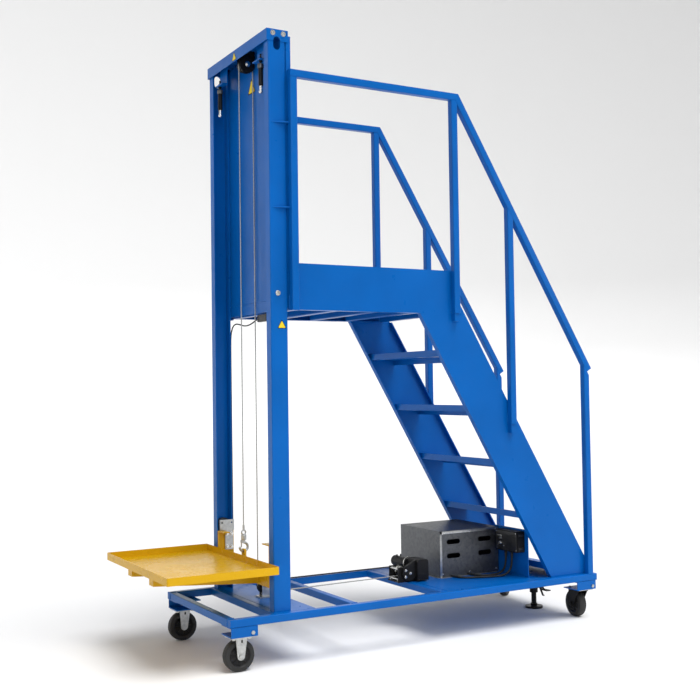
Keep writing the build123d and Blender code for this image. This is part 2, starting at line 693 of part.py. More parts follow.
GEAR_LINE = degrees(atan(MOTOR_RISE / (MOTOR_AT[0] - DRUM_AT[0])))


def winch_drum():
    """Drum with its flanges, shaft, wound rope and the driven gear."""
    x, z = DRUM_AT
    core = DRUM_PITCH - ROPE_RADIUS - 0.3
    drum = rod_y(x, (-40, 40), z, core)
    for y in ((-40, -36), (36, 40)):
        drum += rod_y(x, y, z, 29.5)
    drum += rod_y(x, (5, 36), z, DRUM_PITCH + ROPE_RADIUS)
    drum += rod_y(x, (GEAR_Y[0] - 1, 52), z, 9)
    gear = Pos(x, 0, z) * spur_gear(DRUM_TEETH, 8, GEAR_LINE)
    return drum + gear


def motor_pinion():
    """Pinion on its shaft, in mesh with the drum's gear."""
    x, z = MOTOR_AT
    phase = GEAR_LINE + 180 + 180 / PINION_TEETH
    pinion = Pos(x, 0, z) * spur_gear(PINION_TEETH, 7, phase)
    return pinion + rod_y(x, (GEAR_Y[0] - 1, GEARBOX_Y[1] - 1), z, 8)


def winch_gear_cover():
    """Gear case over both gears and the gearbox block that the motor bolts to."""
    drum_x, drum_z = DRUM_AT
    x, z = MOTOR_AT
    rims = [Pos(drum_x, drum_z) * Circle(43), Pos(x, z) * Circle(33)]
    outline = make_hull([edge for rim in rims for edge in rim.edges()])
    case = extrude(side_plane(0, CASE_Y[1], 0) * outline, CASE_Y[1] - CASE_Y[0])
    gearbox = block((1260, 1332), GEARBOX_Y, (WINCH_FOOT, 376))
    gearbox = fillet(gearbox.edges().filter_by(Axis.Y).group_by(Axis.Z)[-1], 16)
    cover = case + gearbox
    cover -= rod_y(drum_x, (CASE_Y[0] + 2, CASE_Y[1] + 1), drum_z, 40)
    cover -= rod_y(x, (CASE_Y[0] + 2, CASE_Y[1]), z, 30)
    return cover - rod_y(x, (CASE_Y[1] - 1, GEARBOX_Y[1] + 1), z, 8 + RUNNING_FIT)


def winch_motor():
    """Motor can, its bright gear ring and the two terminal studs."""
    x, z = MOTOR_AT
    ring = rod_y(x, (GEARBOX_Y[1], 60), z, MOTOR_RADIUS + 1)
    can = rod_y(x, (60, 165), z, MOTOR_RADIUS)
    can = fillet(can.edges().group_by(Axis.Y)[-1], 9)
    motor = ring + can
    for dx in (-12, 12):
        motor += rod_z(x + dx, 120, (z + MOTOR_RADIUS - 6, z + MOTOR_RADIUS + 9), 4)
    return motor


def clutch_knob():
    """Free-spool knob on the end of the drum shaft, with its grip bar."""
    x, z = DRUM_AT
    knob = rod_y(x, (FAR_PLATE_Y[1] + 4.5, FAR_PLATE_Y[1] + 20), z, 15)
    return knob + block((x - 5, x + 5), (FAR_PLATE_Y[1] + 20, FAR_PLATE_Y[1] + 30), (z - 20, z + 20))


# ---------------------------------------------------------------- power and control

def battery_box():
    """Ventilated sheet cover over the battery, open below."""
    x, y, z = BATTERY_BOX
    outer = fillet(block(x, y, z).edges().filter_by(Axis.Z), 3)
    inner = block((x[0] + 2, x[1] - 2), (y[0] + 2, y[1] - 2), (z[0] - 1, z[1] - 2))
    cover = outer - inner
    for vent_x in (1526.5, 1744.5):
        for vent_z in (373, 452):
            cover -= slot_y(vent_x, vent_z, 92, 28, (y[0] - 1, y[0] + 3))
    return cover


def battery():
    """Battery block with two posts."""
    block_z = (BASE_TOP, BASE_TOP + 205)
    case = block((1480, 1790), (60, 230), block_z)
    for x in (1520, 1750):
        case += rod_z(x, 90, (block_z[1], block_z[1] + 18), 9)
    return case


def control_panel():
    """Upright plate across the deck, on a folded foot."""
    plate = block(PANEL_PLATE_X, PANEL_PLATE_Y, (BASE_TOP, PANEL_PLATE_TOP))
    plate = fillet(plate.edges().filter_by(Axis.X).group_by(Axis.Z)[-1], 24)
    foot = block((PANEL_PLATE_X[1], PANEL_PLATE_X[1] + 34), PANEL_PLATE_Y, (BASE_TOP, BASE_TOP + 5))
    return plate + foot


CONTROL_BOX = ((1798.0, PANEL_PLATE_X[0]), (-298.0, -100.0), (392.0, 510.0))
GLAND_X = 1822.0
GLAND_Y = (-215.0, -160.0)


def control_box():
    """Contactor and charger housing on the panel."""
    x, y, z = CONTROL_BOX
    box = fillet(block(x, y, z).edges().filter_by(Axis.X), 8)
    for gland_y in GLAND_Y:
        box += rod_z(GLAND_X, gland_y, (z[0] - 14, z[0]), 9)
    return box


def cable(points, radius):
    """A round cable along straight runs joined by arcs as large as the runs allow."""
    spots = [Vector(*point) for point in points]
    radii = []
    for before, here, after in zip(spots, spots[1:], spots[2:]):
        first, second = here - before, after - here
        half_turn = radians(first.get_angle(second)) / 2
        radii.append(0.45 * min(first.length, second.length) / tan(half_turn))
    path = FilletPolyline(*points, radius=radii)
    start = Plane(origin=points[0], z_dir=spots[1] - spots[0])
    print("cable length", round(path.length), "least radius", round(min(radii), 1))
    return sweep(start * Circle(radius), path=path)


def cable_bundle():
    """Power leads that loop over the deck from the control box into the side of the battery box."""
    z = BASE_TOP + 6
    top = CONTROL_BOX[2][0] - 14
    wall = BATTERY_BOX[1][0] - 0.5
    lead = [(GLAND_X, GLAND_Y[0], top), (GLAND_X, GLAND_Y[0], 330), (1806, -218, 286), (1768, -222, z + 4),
            (1712, -214, z), (1655, -196, z), (1600, -176, z), (1548, -154, z), (1512, -116, z),
            (1510, wall, z)]
    second = [(GLAND_X, GLAND_Y[1], top), (GLAND_X, GLAND_Y[1], 330), (1808, -162, 286), (1774, -166, z + 5),
              (1722, -164, z), (1668, -146, z), (1628, -110, z), (1626, wall, z)]
    return [cable(lead, 6), cable(second, 6)]


JUNCTION_BOX = ((PANEL_X, PANEL_X + 22), (-115.0, -6.0), (1681.0, 1719.0))


def control_cable():
    """Switch lead from the box under the mast panel, down the far column and along the far rail."""
    box = fillet(block(*JUNCTION_BOX).edges().filter_by(Axis.X), 4)
    rail_z = BASE_TOP + 4.5
    points = [(356, -6, 1700), (356, 34, 1694), (355, 80, 1680), (353, 130, 1671), (352, 180, 1672),
              (351, 230, 1682), (350, 280, 1690), (350, 325, 1678), (350, 352, 1636), (350, 356, 1578),
              (350, 355, 1200), (351, 356, 800), (352, 357, 420), (356, 362, 340), (372, 380, 285),
              (410, 398, rail_z + 5), (470, 405, rail_z), (900, 406, rail_z), (1300, 405, rail_z),
              (1390, 402, rail_z)]
    return [box, cable(points, 3.5)]


# ---------------------------------------------------------------- platform

def platform_frame():
    """Two side channels with five cross members between them."""
    z = (DECK_FRAME_BOTTOM, DECK_TOP - SHEET)
    depth = 37.0
    wall = 4.0
    channel = block(DECK_X, (-DECK_FRAME_Y, -DECK_FRAME_Y + depth), z)
    channel -= block((DECK_X[0] - 1, DECK_X[1] + 1), (-DECK_FRAME_Y + wall, -DECK_FRAME_Y + depth + 1),
                     (z[0] + wall, z[1] - wall))
    reach = DECK_FRAME_Y - depth
    middle = (z[0] + z[1]) / 2
    spacing = (DECK_X[1] - DECK_X[0] - TUBE) / 4
    members = []
    for index in range(5):
        x = DECK_X[0] + TUBE / 2 + index * spacing
        members.append(tube((x, -reach, middle), (x, reach, middle), height=z[1] - z[0]))
    return [*both_sides(channel), *members]


def platform_deck():
    """The walking surface."""
    return block(DECK_X, (-DECK_FRAME_Y, DECK_FRAME_Y), (DECK_TOP - SHEET, DECK_TOP))


def toe_boards():
    """Side plates that stand on the deck behind the posts."""
    board_y = (-DECK_FRAME_Y, -DECK_FRAME_Y + 4)
    return both_sides(block((DECK_X[0] + 13, DECK_X[1]), board_y, (DECK_TOP, TOE_TOP)))


# ---------------------------------------------------------------- stair

DECK_UNDERSIDE = DECK_TOP - SHEET
LOW_RUN = (STRINGER_LOW[0] - STRINGER_LOW[1]) / (DECK_UNDERSIDE - BASE_TOP)


def low_edge(z):
    """x of the stringer's lower edge at a height."""
    return STRINGER_LOW[0] - LOW_RUN * (z - BASE_TOP)


def stringer():
    """The near stringer: a folded plate with inward flanges along both sloping edges."""
    run = (STRINGER_HIGH[1] - STRINGER_HIGH[0]) / (DECK_UNDERSIDE - 370)
    end_z = 370 - (STRINGER_END_X - STRINGER_HIGH[1]) / run
    under_deck = DECK_FRAME_BOTTOM
    outline = [(low_edge(BASE_TOP), BASE_TOP), (low_edge(under_deck), under_deck), (DECK_X[1], under_deck),
               (DECK_X[1], DECK_UNDERSIDE), (STRINGER_HIGH[0], DECK_UNDERSIDE), (STRINGER_END_X, end_z),
               (STRINGER_END_X, BASE_TOP)]
    face_y = -DECK_FRAME_Y
    web = slab(outline, (face_y, face_y + STRINGER_WEB))
    flange_y = (face_y + STRINGER_WEB, face_y + STRINGER_WEB + STRINGER_FLANGE)
    low = slab([(low_edge(BASE_TOP), BASE_TOP), (low_edge(under_deck), under_deck),
                (low_edge(under_deck) + 7, under_deck), (low_edge(BASE_TOP) + 7, BASE_TOP)], flange_y)
    start_x = STRINGER_HIGH[0] + run * (DECK_UNDERSIDE - under_deck)
    high = slab([(STRINGER_END_X, end_z), (start_x, under_deck), (start_x - 7, under_deck),
                 (STRINGER_END_X - 7, end_z)], flange_y)
    return web + low + high


def stair_treads():
    """Folded treads: a rear up-stand, the step and a front lip, welded between the stringers."""
    reach = DECK_FRAME_Y - STRINGER_WEB
    treads = []
    for step in range(1, TREAD_COUNT + 1):
        z = TREAD_RISE * step
        x = low_edge(z - SHEET) + 8
        y = (-reach, reach)
        tread = block((x, x + TREAD_DEPTH), y, (z - SHEET, z))
        tread += block((x, x + SHEET), y, (z, z + 32))
        tread += block((x + TREAD_DEPTH - SHEET, x + TREAD_DEPTH), y, (z - 33, z - SHEET))
        treads.append(tread)
    return treads


# ---------------------------------------------------------------- handrails

def below(shape, point, angle):
    """Keeps what lies below a line through point (x, z) that falls at angle degrees towards +x."""
    a = radians(angle)
    plane = Plane(origin=(point[0], 0, point[1]), z_dir=(sin(a), 0, cos(a)))
    return split(shape, bisect_by=plane, keep=Keep.BOTTOM)


def handrail():
    """The near handrail: four posts, the level top rail and the sloping rail, each its own tube."""
    y = -HALF_WIDTH + TUBE / 2
    angle = degrees(SLOPE)
    across = (sin(SLOPE), cos(SLOPE))       # from the sloping rail's lower edge to its upper edge
    lower_edge = (SLOPE_START[0] - TUBE * across[0], SLOPE_START[1] - TUBE * across[1])
    corner = (SLOPE_START[0] + (SLOPE_START[1] - RAIL_TOP) / tan(SLOPE), RAIL_TOP)
    rail_z = RAIL_TOP - TUBE / 2

    level = tube((POST_X[0], y, rail_z), (corner[0] + TUBE, y, rail_z), capped=(True, False))
    mitre = Plane(origin=(corner[0], 0, corner[1]), z_dir=(cos(SLOPE / 2), 0, -sin(SLOPE / 2)))
    level = split(level, bisect_by=mitre, keep=Keep.BOTTOM)

    end = (SLOPE_END[0] - across[0] * TUBE / 2, SLOPE_END[1] - across[1] * TUBE / 2)
    reach = hypot(SLOPE_END[0] - corner[0], SLOPE_END[1] - corner[1]) + TUBE
    start = (end[0] - reach * cos(SLOPE), end[1] + reach * sin(SLOPE))
    sloping = tube((start[0], y, start[1]), (end[0], y, end[1]), capped=(False, True))
    sloping = split(sloping, bisect_by=mitre, keep=Keep.TOP)

    bottoms = (1716.0, 1723.0, 1123.0, BASE_TOP)
    posts = []
    for x, bottom in zip(POST_X, bottoms):
        middle = x + TUBE / 2
        post = tube((middle, y, bottom), (middle, y, RAIL_TOP - TUBE), capped=(bottom > BASE_TOP, False))
        posts.append(below(post, lower_edge, angle))
    return [level, sloping, *posts]


def post_sockets():
    """Square stubs on the stringers that carry the feet of the middle posts."""
    near = []
    for x, z in ((POST_X[1], (1681.0, 1723.0)), (POST_X[2], (1074.0, 1123.0))):
        near.append(block((x + 4, x + 34), (-DECK_FRAME_Y - 30, -DECK_FRAME_Y), z))
    return both_sides(*near)


# ---------------------------------------------------------------- nodes

def write_base():
    rail = base_rail()
    save("base_rail_near", rail)
    save("base_rail_far", far_side(rail))
    save("base_cross_tubes", *base_cross_tubes())
    save("base_plates", *base_plates())
    save("caster_risers", *caster_risers())
    save("caster_bolts", *caster_bolts())


def write_casters():
    forks, axles, wheels = rigid_casters()
    save("rigid_forks", *forks)
    save("fixed_axles", *axles)
    save("rigid_wheel_near", wheels[0])
    save("rigid_wheel_far", wheels[1])
    plates, forks, wheels = swivel_casters()
    save("swivel_plates", *plates)
    for side, fork, wheel in zip(("near", "far"), forks, wheels):
        save(f"swivel_fork_{side}", fork)
        save(f"swivel_wheel_{side}", wheel)
    save("floor_lock_body", floor_lock_body())
    save("floor_lock_shoe", floor_lock_shoe())
    save("floor_lock_pedal", floor_lock_pedal())


def write_mast():
    column = mast_column()
    save("mast_column_near", column)
    save("mast_column_far", far_side(column))
    save("mast_header", *mast_header())
    save("mast_back_panel", *mast_back_panel())
    save("mast_gussets", *mast_gussets())
    save("sheave_block", sheave_block())
    save("top_sheave", Pos(SHEAVE_AT[0], 0, SHEAVE_AT[1]) * grooved_wheel(8 + RUNNING_FIT))
    save("base_pulley_bracket", base_pulley_bracket())
    save("base_pulley", Pos(LOW_PULLEY_X, 0, LOW_PULLEY_Z) * grooved_wheel(8 + RUNNING_FIT))
    save("hoist_rope_front", hoist_rope_front())
    save("hoist_rope_run", hoist_rope_run())
    save("stop_bodies", *stop_bodies())
    save("stop_plungers", *stop_plungers())


def write_carriage():
    save("carriage_frame", carriage_frame())
    save("roller_plates", *roller_plates())
    save("lower_rollers", *roller_pair(ROLLER_Z[0]))
    save("upper_rollers", *roller_pair(ROLLER_Z[1]))
    save("fork_arms", *fork_arms())
    save("load_tray", load_tray())
    save("hoist_hook", hoist_hook())
    save("hook_latch", hook_latch())


def write_equipment():
    save("winch_frame", winch_frame())
    save("winch_drum", winch_drum())
    save("motor_pinion", motor_pinion())
    save("winch_gear_cover", winch_gear_cover())
    save("winch_motor", winch_motor())
    save("clutch_knob", clutch_knob())
    save("battery_box", battery_box())
    save("battery", battery())
    save("control_panel", control_panel())
    save("control_box", control_box())
    save("cable_bundle", *cable_bundle())
    save("control_cable", *control_cable())


def write_platform():
    save("platform_frame", *platform_frame())
    save("platform_deck", platform_deck())
    save("toe_boards", *toe_boards())
    side = stringer()
    save("stringer_near", side)
    save("stringer_far", far_side(side))
    save("stair_treads", *stair_treads())
    rails = handrail()
    save("handrail_near", *rails)
    save("handrail_far", *[far_side(rail) for rail in rails])
    save("post_sockets", *post_sockets())


os.makedirs("parts", exist_ok=True)
write_base()
write_casters()
write_mast()
write_carriage()
write_equipment()
write_platform()
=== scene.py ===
import json
import bmesh
import bpy
from math import cos, pi, radians, sin
from mathutils import Matrix, Vector

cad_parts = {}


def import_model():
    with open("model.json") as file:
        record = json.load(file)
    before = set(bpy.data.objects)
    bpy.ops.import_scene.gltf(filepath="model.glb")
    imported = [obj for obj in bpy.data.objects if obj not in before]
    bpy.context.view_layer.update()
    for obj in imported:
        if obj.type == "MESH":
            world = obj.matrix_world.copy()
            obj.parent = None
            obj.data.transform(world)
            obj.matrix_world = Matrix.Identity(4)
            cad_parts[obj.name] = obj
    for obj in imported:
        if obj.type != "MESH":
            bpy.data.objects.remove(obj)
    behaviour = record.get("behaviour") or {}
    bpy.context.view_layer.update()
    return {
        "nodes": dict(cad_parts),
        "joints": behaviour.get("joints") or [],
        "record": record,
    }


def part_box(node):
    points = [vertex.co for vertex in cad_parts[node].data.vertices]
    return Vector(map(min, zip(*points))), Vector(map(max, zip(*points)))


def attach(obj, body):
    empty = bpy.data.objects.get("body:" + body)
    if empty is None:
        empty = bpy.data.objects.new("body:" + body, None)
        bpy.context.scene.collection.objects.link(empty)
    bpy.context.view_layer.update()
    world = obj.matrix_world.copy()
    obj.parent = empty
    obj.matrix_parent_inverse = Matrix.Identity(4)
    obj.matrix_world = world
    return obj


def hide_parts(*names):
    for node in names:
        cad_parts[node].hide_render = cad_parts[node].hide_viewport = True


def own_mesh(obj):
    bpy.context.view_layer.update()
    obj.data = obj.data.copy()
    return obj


# Looks of the mobile stair platform, in metres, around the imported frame. x runs from the tray end to
# the foot of the stair, y from the near handrail to the far one, z up from the floor.

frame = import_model()
NODES = frame["nodes"]
FRAME_X = 0.9725        # the base's mast end lies this far before x = 0


# ---------------------------------------------------------------- node helpers

def new_material(name, base, roughness, metallic=0.0):
    """A material with its Principled shader set to uniform values."""
    material = bpy.data.materials.new(name)
    material.use_nodes = True
    shader = material.node_tree.nodes["Principled BSDF"]
    shader.inputs["Base Color"].default_value = (*base, 1)
    shader.inputs["Roughness"].default_value = roughness
    shader.inputs["Metallic"].default_value = metallic
    return material, shader


def object_coords(tree):
    return tree.nodes.new("ShaderNodeTexCoord").outputs["Object"]


def noise(tree, scale, detail=4.0, stretch=(1, 1, 1)):
    """Noise output in object space, in features per metre."""
    mapping = tree.nodes.new("ShaderNodeMapping")
    mapping.inputs["Scale"].default_value = stretch
    tree.links.new(object_coords(tree), mapping.inputs["Vector"])
    texture = tree.nodes.new("ShaderNodeTexNoise")
    texture.inputs["Scale"].default_value = scale
    texture.inputs["Detail"].default_value = detail
    tree.links.new(mapping.outputs["Vector"], texture.inputs["Vector"])
    return texture.outputs["Fac"]


def ramp(tree, value, low, high, dark, light):
    """Colour that goes from dark to light while value goes from low to high."""
    node = tree.nodes.new("ShaderNodeValToRGB")
    node.color_ramp.elements[0].position = low
    node.color_ramp.elements[0].color = (*dark, 1)
    node.color_ramp.elements[1].position = high
    node.color_ramp.elements[1].color = (*light, 1)
    tree.links.new(value, node.inputs["Fac"])
    return node.outputs["Color"]


def spread(tree, value, low, high):
    """value from 0..1 to low..high."""
    node = tree.nodes.new("ShaderNodeMapRange")
    node.inputs["To Min"].default_value = low
    node.inputs["To Max"].default_value = high
    tree.links.new(value, node.inputs["Value"])
    return node.outputs["Result"]


def bump(tree, shader, height, strength, distance):
    node = tree.nodes.new("ShaderNodeBump")
    node.inputs["Strength"].default_value = strength
    node.inputs["Distance"].default_value = distance
    tree.links.new(height, node.inputs["Height"])
    tree.links.new(node.outputs["Normal"], shader.inputs["Normal"])


# ---------------------------------------------------------------- materials

def powder_coat(name, base, roughness=0.32, shade=0.86, peel=0.10):
    """Sprayed enamel: slight colour drift, orange peel and uneven gloss."""
    material, shader = new_material(name, base, roughness)
    shader.inputs["Specular IOR Level"].default_value = 0.15
    tree = material.node_tree
    darker = tuple(channel * shade for channel in base)
    tree.links.new(ramp(tree, noise(tree, 2.5, 5), 0.35, 0.65, darker, base), shader.inputs["Base Color"])
    gloss = spread(tree, noise(tree, 14, 6), roughness - 0.08, roughness + 0.10)
    tree.links.new(gloss, shader.inputs["Roughness"])
    bump(tree, shader, noise(tree, 420, 2), peel, 0.0006)
    return material


def brushed(name, base, roughness=0.36, stretch=(1, 1, 12), metallic=1.0):
    """Bare or plated steel with fine drawn scratches and cloudy patches."""
    material, shader = new_material(name, base, roughness, metallic)
    tree = material.node_tree
    darker = tuple(channel * 0.72 for channel in base)
    tree.links.new(ramp(tree, noise(tree, 60, 6), 0.3, 0.7, darker, base), shader.inputs["Base Color"])
    tree.links.new(spread(tree, noise(tree, 240, 3, stretch), roughness - 0.1, roughness + 0.14),
                   shader.inputs["Roughness"])
    bump(tree, shader, noise(tree, 700, 2, stretch), 0.06, 0.0003)
    return material


def galvanised():
    """Hot-dipped sheet with its spangle of flat crystals."""
    material, shader = new_material("galvanised", (0.15, 0.155, 0.16), 0.40, 0.85)
    tree = material.node_tree
    cells = tree.nodes.new("ShaderNodeTexVoronoi")
    cells.inputs["Scale"].default_value = 70
    tree.links.new(object_coords(tree), cells.inputs["Vector"])
    grey = tree.nodes.new("ShaderNodeRGBToBW")
    tree.links.new(cells.outputs["Color"], grey.inputs["Color"])
    tree.links.new(ramp(tree, grey.outputs["Val"], 0.1, 0.9, (0.105, 0.11, 0.116), (0.155, 0.16, 0.166)),
                   shader.inputs["Base Color"])
    tree.links.new(spread(tree, grey.outputs["Val"], 0.34, 0.52), shader.inputs["Roughness"])
    bump(tree, shader, noise(tree, 90, 4), 0.05, 0.0005)
    return material


def rubber(name, base):
    """Moulded rubber: fine grain and dusty, uneven sheen."""
    material, shader = new_material(name, base, 0.62)
    tree = material.node_tree
    dusty = tuple(channel + 0.004 for channel in base)
    tree.links.new(ramp(tree, noise(tree, 25, 7), 0.42, 0.75, base, dusty), shader.inputs["Base Color"])
    tree.links.new(spread(tree, noise(tree, 40, 5), 0.5, 0.75), shader.inputs["Roughness"])
    bump(tree, shader, noise(tree, 900, 3), 0.18, 0.0004)
    return material


def moulded(name, base, roughness=0.42):
    """Textured plastic."""
    material, shader = new_material(name, base, roughness)
    tree = material.node_tree
    paler = tuple(min(1.0, channel * 1.3 + 0.004) for channel in base)
    tree.links.new(ramp(tree, noise(tree, 12, 4), 0.4, 0.7, base, paler), shader.inputs["Base Color"])
    bump(tree, shader, noise(tree, 1300, 2), 0.12, 0.0003)
    return material


def wire_rope():
    """Laid steel strands: slanted bands along the rope."""
    material, shader = new_material("wire_rope", (0.55, 0.55, 0.54), 0.38, 0.9)
    tree = material.node_tree
    bands = tree.nodes.new("ShaderNodeTexWave")
    bands.wave_type = "BANDS"
    bands.bands_direction = "DIAGONAL"
    bands.inputs["Scale"].default_value = 90
    bands.inputs["Distortion"].default_value = 0.6
    tree.links.new(object_coords(tree), bands.inputs["Vector"])
    tree.links.new(ramp(tree, bands.outputs["Fac"], 0.2, 0.8, (0.22, 0.22, 0.22), (0.62, 0.62, 0.60)),
                   shader.inputs["Base Color"])
    bump(tree, shader, bands.outputs["Fac"], 0.7, 0.0012)
    return material


BLUE = powder_coat("blue_enamel", (0.0003, 0.112, 0.435), 0.30)
YELLOW = powder_coat("yellow_enamel", (0.660, 0.375, 0.006), 0.26, shade=0.92)
ZINC = brushed("zinc_plate", (0.60, 0.61, 0.60))
BRIGHT = brushed("bright_steel", (0.78, 0.78, 0.76), 0.22)
GALVANISED = galvanised()
BLACK = powder_coat("black_enamel", (0.012, 0.012, 0.013), 0.36, shade=0.7, peel=0.2)
TYRE = rubber("black_rubber", (0.012, 0.012, 0.012))
LEAD = rubber("cable_jacket", (0.010, 0.010, 0.010))
PLASTIC = moulded("black_plastic", (0.012, 0.012, 0.013))
ROPE = wire_rope()
LABEL = powder_coat("label_yellow", (0.80, 0.60, 0.03), 0.4, shade=0.95, peel=0.02)
LABEL_EDGE = powder_coat("label_black", (0.012, 0.012, 0.012), 0.4, shade=0.9, peel=0.02)
HUB = powder_coat("hub_black", (0.022, 0.022, 0.023), 0.38, shade=0.8)

BY_SLOT = {
    "frame_blue": BLUE, "carriage_yellow": YELLOW, "zinc_steel": ZINC, "black_steel": BLACK,
    "bare_steel": BRIGHT, "wire_rope": ROPE, "black_rubber": TYRE, "lock_shoe": BLACK,
    "roller_nylon": PLASTIC, "galvanised": GALVANISED, "black_plastic": PLASTIC,
}


def dress_cad_nodes():
    """Each CAD node gets the material of its slot."""
    slot_of = {part["node"]: part["material_slot"] for part in frame["record"]["subparts"]}
    for name, node in NODES.items():
        node.data.materials.clear()
        node.data.materials.append(BY_SLOT[slot_of[name]])
    NODES["winch_motor"].data.materials[0] = BLACK


# ---------------------------------------------------------------- mesh helpers

def piece(name, mesh, material, body, smooth=True):
    """Links a mesh as a piece that rides on a body."""
    obj = bpy.data.objects.new(name, mesh)
    bpy.context.scene.collection.objects.link(obj)
    mesh.materials.append(material)
    if smooth:
        for polygon in mesh.polygons:
            polygon.use_smooth = True
        mesh.set_sharp_from_angle(angle=radians(35))
    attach(obj, body)
    return obj


def mesh_from(name, bm):
    mesh = bpy.data.meshes.new(name)
    bmesh.ops.recalc_face_normals(bm, faces=bm.faces)
    bm.to_mesh(mesh)
    bm.free()
    return mesh


def turn_to(direction):
    """Rotation that takes +z to a direction."""
    return Vector((0, 0, 1)).rotation_difference(Vector(direction)).to_matrix().to_4x4()


def lathe(bm, profile, place, steps=48):
    """Adds the solid of a closed (radius, height) profile turned about z, moved by place."""
    rings = []
    for index in range(steps):
        angle = 2 * pi * index / steps
        rings.append([bm.verts.new(place @ Vector((r * cos(angle), r * sin(angle), h))) for r, h in profile])
    count = len(profile)
    for index in range(steps):
        this, following = rings[index], rings[(index + 1) % steps]
        for k in range(count):
            corners = [this[k], following[k], following[(k + 1) % count], this[(k + 1) % count]]
            if len(set(corners)) == 4:
                bm.faces.new(corners)


def add_bolt(bm, at, direction, flats=0.014, height=0.008):
    """A washer and a chamfered hexagon head standing on a face."""
    place = Matrix.Translation(at) @ turn_to(direction)
    washer = flats * 0.78
    rim = [(0.0004, 0), (washer, 0), (washer, 0.0012), (washer - 0.0006, 0.0018), (0.0004, 0.0018)]
    lathe(bm, rim, place, 32)
    radius = flats / 2 / cos(pi / 6)
    low, high = 0.0018, 0.0018 + height
    rings = []
    for r, z in ((radius, low), (radius, high - 0.0012), (radius * 0.86, high), (0.0004, high)):
        corners = [Vector((r * cos(i * pi / 3), r * sin(i * pi / 3), z)) for i in range(6)]
        rings.append([bm.verts.new(place @ corner) for corner in corners])
    for lower, upper in zip(rings, rings[1:]):
        for i in range(6):
            bm.faces.new([lower[i], lower[(i + 1) % 6], upper[(i + 1) % 6], upper[i]])
    bm.faces.new(rings[-1])
    bm.faces.new(list(reversed(rings[0])))


def bolts(name, spots, body="base", **size):
    """One piece with a bolt head at each (point, direction)."""
    bm = bmesh.new()
    for at, direction in spots:
        add_bolt(bm, Vector(at), direction, **size)
    piece(name, mesh_from(name, bm), BRIGHT, body)


def weld_beads(name, runs):
    """Rippled fillet beads along straight (start, end) runs on the base."""
    bm = bmesh.new()
    sides = 8
    radius = 0.0028
    ripple = 0.0035
    for start, end in runs:
        start, end = Vector(start), Vector(end)
        along = end - start
        place = Matrix.Translation(start) @ turn_to(along)
        steps = max(4, int(along.length / ripple))
        rings = []
        for index in range(steps + 1):
            swell = radius * (0.9 + 0.22 * (index % 2) + 0.08 * sin(index * 1.7))
            height = along.length * index / steps
            ring = []
            for k in range(sides):
                angle = 2 * pi * k / sides
                ring.append(bm.verts.new(place @ Vector((swell * cos(angle), swell * sin(angle), height))))
            rings.append(ring)
        for lower, upper in zip(rings, rings[1:]):
            for k in range(sides):
                bm.faces.new([lower[k], lower[(k + 1) % sides], upper[(k + 1) % sides], upper[k]])
        bm.faces.new(rings[-1])
        bm.faces.new(list(reversed(rings[0])))
    piece(name, mesh_from(name, bm), BLUE, "base")


def world(x, y, z):
    """Millimetres from the mast end of the base to metres in the frame."""
    return Vector((x / 1000 - FRAME_X, y / 1000, z / 1000))


# ---------------------------------------------------------------- casters

def caster_wheel(name):
    """Rubber tyre with moulded shoulders, pressed hub and bearing seals, in place of the plain wheel."""
    low, high = [Vector(corner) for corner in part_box(name)]
    centre = (low + high) / 2
    joint = next(j for j in frame["joints"] if j["child"] == name)
    place = Matrix.Translation(centre) @ turn_to(joint["axis"])
    radius, half = 0.0762, 0.0225
    tyre = [(0.052, half - 0.002), (0.054, half), (0.066, half), (0.0725, half - 0.0025),
            (0.0755, half - 0.0075), (radius, half - 0.012)]
    tyre += [(r, -h) for r, h in reversed(tyre)]
    hub = [(0.0066, 0.027), (0.013, 0.027), (0.0145, 0.0262), (0.0150, 0.0165), (0.020, 0.0145),
           (0.040, 0.0125), (0.046, 0.0135), (0.050, half - 0.003), (0.052, half - 0.002)]
    hub += [(r, -h) for r, h in reversed(hub)]
    bm = bmesh.new()
    lathe(bm, tyre, place, 96)
    wheel = piece(name + "_tyre", mesh_from(name + "_tyre", bm), TYRE, name)
    bm = bmesh.new()
    lathe(bm, hub, place, 96)
    for index in range(8):
        angle = 2 * pi * index / 8
        for side in (-1, 1):
            rib = Matrix.Translation((0.032 * cos(angle), 0.032 * sin(angle), side * 0.014))
            shape = rib @ Matrix.Rotation(angle, 4, "Z") @ Matrix.Diagonal((0.024, 0.003, 0.006, 1))
            bmesh.ops.create_cube(bm, size=1, matrix=place @ shape)
    piece(name + "_hub", mesh_from(name + "_hub", bm), HUB, name)
    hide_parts(name)


# ---------------------------------------------------------------- cables

def cable(name, route, diameter):
    """A free cable from the route's first point, on one smooth line with the route as its control points."""
    curve = bpy.data.curves.new(name, "CURVE")
    curve.dimensions = "3D"
    curve.bevel_depth = diameter / 2
    curve.bevel_resolution = 5
    curve.resolution_u = 12
    curve.use_fill_caps = True
    spline = curve.splines.new("NURBS")
    spline.points.add(len(route) - 1)
    for point, spot in zip(spline.points, route):
        point.co = (*world(*spot), 1)
    spline.order_u = 3
    spline.use_endpoint_u = True
    obj = bpy.data.objects.new(name, curve)
    bpy.context.scene.collection.objects.link(obj)
    curve.materials.append(LEAD)
    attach(obj, "base")
    return obj


